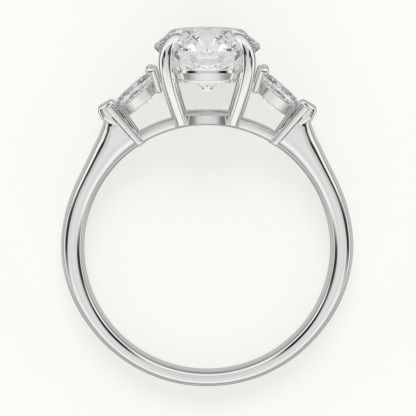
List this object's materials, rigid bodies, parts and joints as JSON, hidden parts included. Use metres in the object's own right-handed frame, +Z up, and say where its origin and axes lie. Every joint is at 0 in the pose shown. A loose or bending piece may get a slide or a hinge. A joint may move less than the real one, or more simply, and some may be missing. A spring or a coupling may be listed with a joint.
{
  "type": "three stone ring",
  "caption": "Polished white-metal finger ring with a round stone in a wire-prong head, pear-shaped side stones on sloping shoulders and a plain tapered band.",
  "frame": {"origin": "middle of the bounding box's underside, on the surface that the ring lies on", "axes": "+Y towards the stones, +X across the finger, +Z up; the finger's axis leans 6.2 degrees from +Z"},
  "size_m": [0.0206, 0.0256, 0.0074],
  "materials": {
    "white_metal": "mirror polished",
    "clear_stone": "cut and polished"
  },
  "bodies": {
    "root": {"mounting": "white_metal", "centre_stone": "clear_stone", "left_stone": "clear_stone", "right_stone": "clear_stone"}
  },
  "joints": []
}
